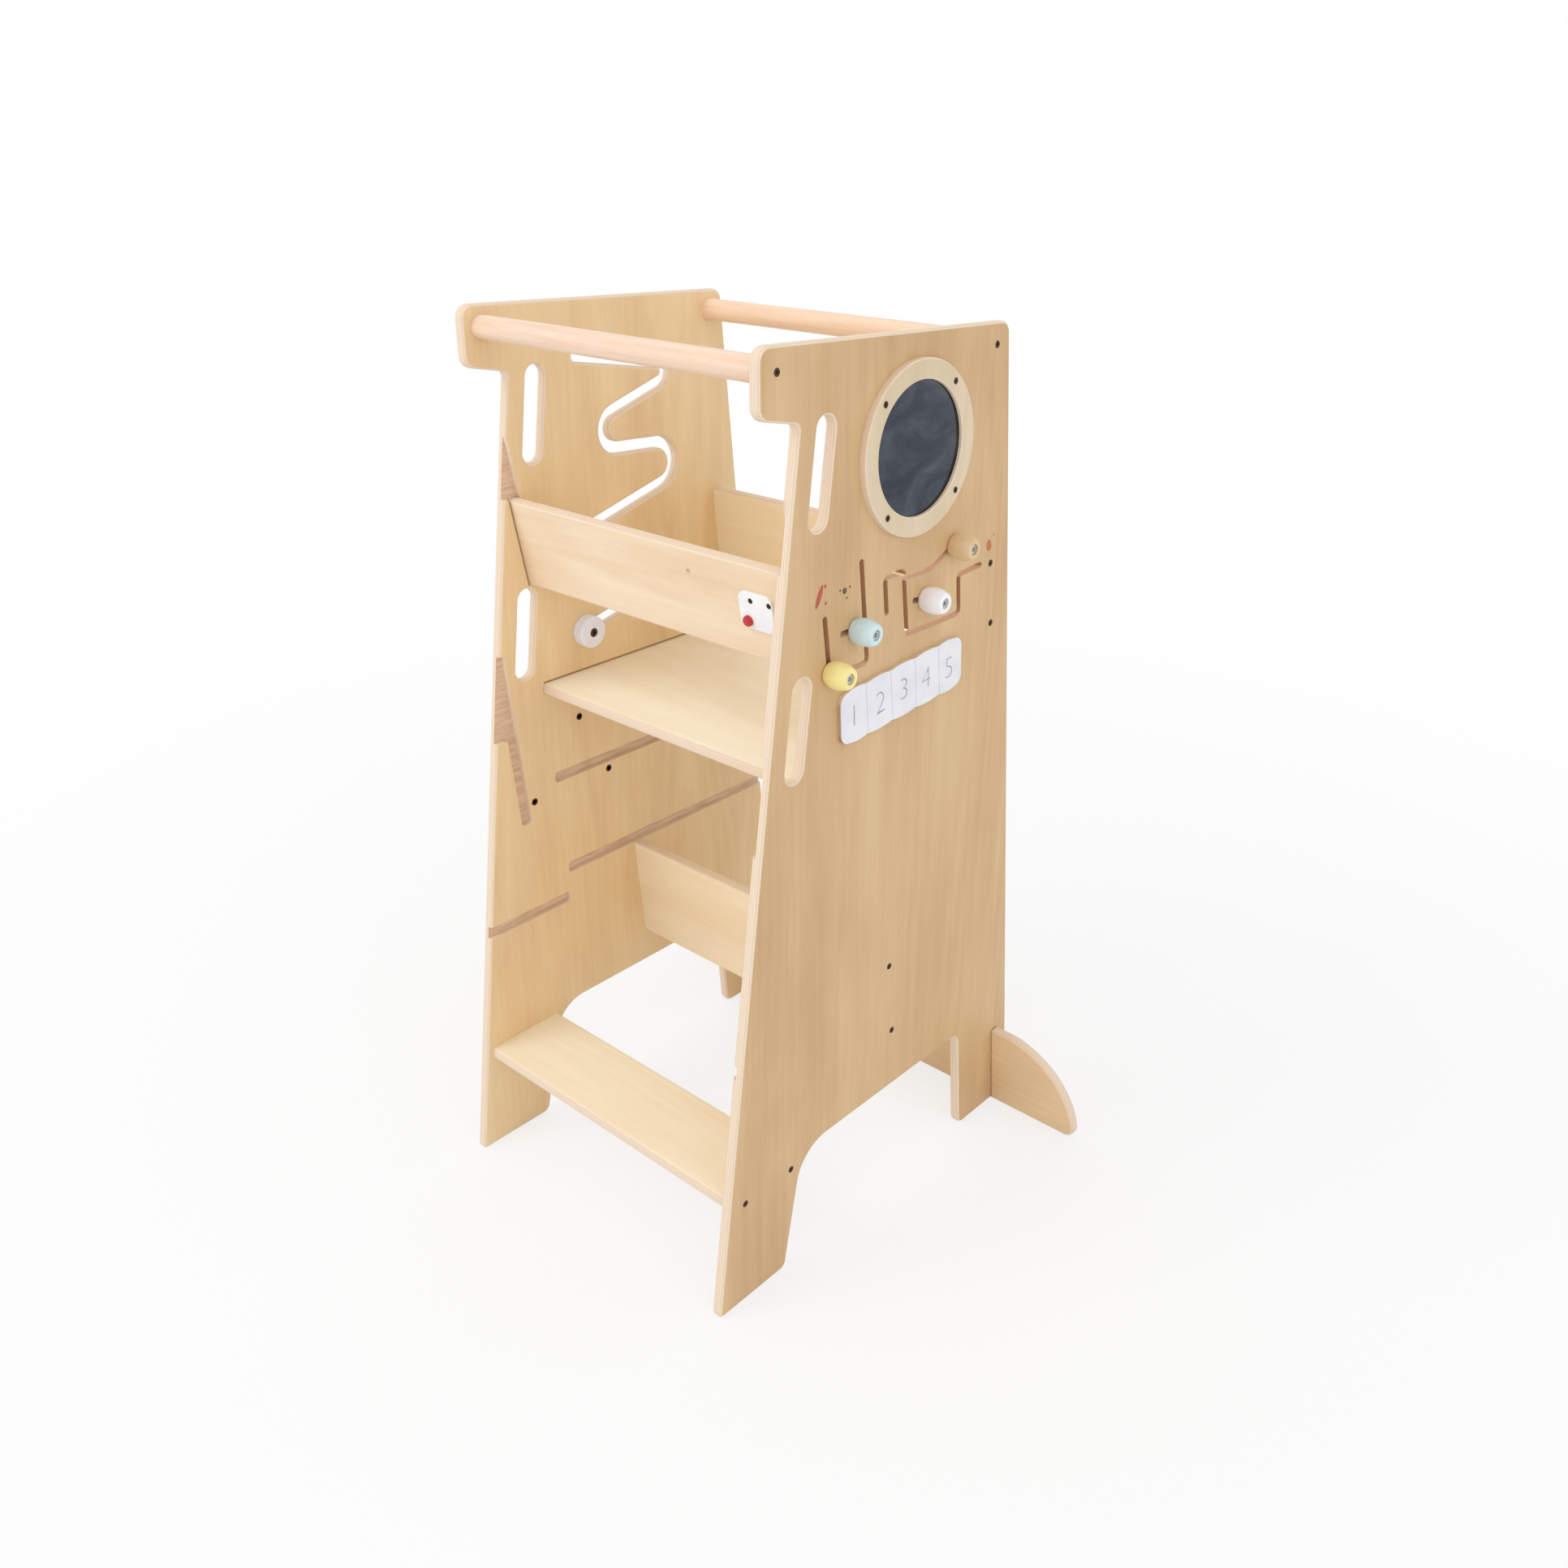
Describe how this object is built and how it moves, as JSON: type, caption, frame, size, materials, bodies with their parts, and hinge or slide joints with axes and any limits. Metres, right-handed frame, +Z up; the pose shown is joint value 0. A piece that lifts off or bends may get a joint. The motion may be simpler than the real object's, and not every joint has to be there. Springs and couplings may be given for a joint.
{
  "type": "toddler kitchen helper stool",
  "caption": "Plywood learning tower for a toddler: side panels with play slots and mirror, adjustable standing platform and front guard, step, rails and floor stabiliser.",
  "frame": {"origin": "on the floor, midway between the two side panels and midway between the toes and heels of their feet", "axes": "+Z up, -Y towards the side the child climbs from, +X towards the side panel with the mirror"},
  "size_m": [0.5958, 0.4785, 0.8995],
  "materials": {
    "side_plywood": "clear satin lacquer on birch plywood",
    "board_plywood": "clear satin lacquer on birch plywood",
    "rail_wood": "clear satin lacquer on turned beech",
    "ring_wood": "clear satin lacquer on birch plywood",
    "knob_wood": "clear satin lacquer on turned wood",
    "yellow_paint": "satin paint on turned wood",
    "teal_paint": "satin paint on turned wood",
    "white_paint": "satin paint on turned wood",
    "grey_paint": "satin paint on turned wood",
    "mirror_acrylic": "polished, seen in shade",
    "plate_plastic": "satin",
    "badge_plastic": "gloss",
    "stud_plastic": "gloss",
    "bush_plastic": "satin",
    "zinc_steel": "zinc plated",
    "dark_steel": "black zinc"
  },
  "bodies": {
    "tower": {"side_panel_left": "side_plywood", "side_panel_right": "side_plywood", "front_dowel": "rail_wood", "rear_dowel": "rail_wood", "rear_guard": "board_plywood", "lower_cross_board": "board_plywood", "bottom_step": "board_plywood", "stabiliser_board": "board_plywood", "dowel_screws": "dark_steel", "rear_guard_screws": "dark_steel", "cross_board_screws": "dark_steel", "step_screws": "dark_steel", "threaded_inserts": "dark_steel", "mirror_ring": "ring_wood", "mirror_glass": "mirror_acrylic", "mirror_screws": "dark_steel", "number_plate": "plate_plastic"},
    "guard": {"front_guard": "board_plywood", "guard_badge": "badge_plastic", "badge_screws": "dark_steel", "badge_stud": "stud_plastic"},
    "platform_shelf": {"platform": "board_plywood"},
    "slider": {"slider_disc": "grey_paint", "slider_bush": "bush_plastic", "slider_back": "grey_paint", "slider_bolt": "zinc_steel"},
    "yellow_bead": {"yellow_knob": "yellow_paint", "yellow_knob_bolt": "zinc_steel", "yellow_knob_nut": "zinc_steel"},
    "teal_bead": {"teal_knob": "teal_paint", "teal_knob_bolt": "zinc_steel", "teal_knob_nut": "zinc_steel"},
    "white_bead": {"white_knob": "white_paint", "white_knob_bolt": "zinc_steel", "white_knob_nut": "zinc_steel"},
    "natural_bead": {"natural_knob": "knob_wood", "natural_knob_bolt": "zinc_steel", "natural_knob_nut": "zinc_steel"}
  },
  "joints": [
    {"name": "guard_lift", "type": "slide", "parent": "tower", "child": "guard", "axis": [0, -0.1874, 0.9823], "range_m": [0, 0.09]},
    {"name": "platform_pull", "type": "slide", "parent": "tower", "child": "platform_shelf", "axis": [0, 1, 0], "range_m": [0, 0.25]},
    {"name": "yellow_bead_lane", "type": "slide", "parent": "tower", "child": "yellow_bead", "axis": [0, -0.1376, 0.9905], "range_m": [0, 0.048]},
    {"name": "teal_bead_lane", "type": "slide", "parent": "tower", "child": "teal_bead", "axis": [0, 1, 0], "range_m": [-0.014, 0.012]},
    {"name": "white_bead_lane", "type": "slide", "parent": "tower", "child": "white_bead", "axis": [0, 0.9978, -0.0665], "range_m": [-0.014, 0.014]},
    {"name": "natural_bead_lane", "type": "slide", "parent": "tower", "child": "natural_bead", "axis": [0, -0.9059, -0.4235], "range_m": [0, 0.03]},
    {"name": "slider_run", "type": "slide", "parent": "tower", "child": "slider", "axis": [0, 0.9745, 0.2245], "range_m": [0, 0.095]}
  ]
}
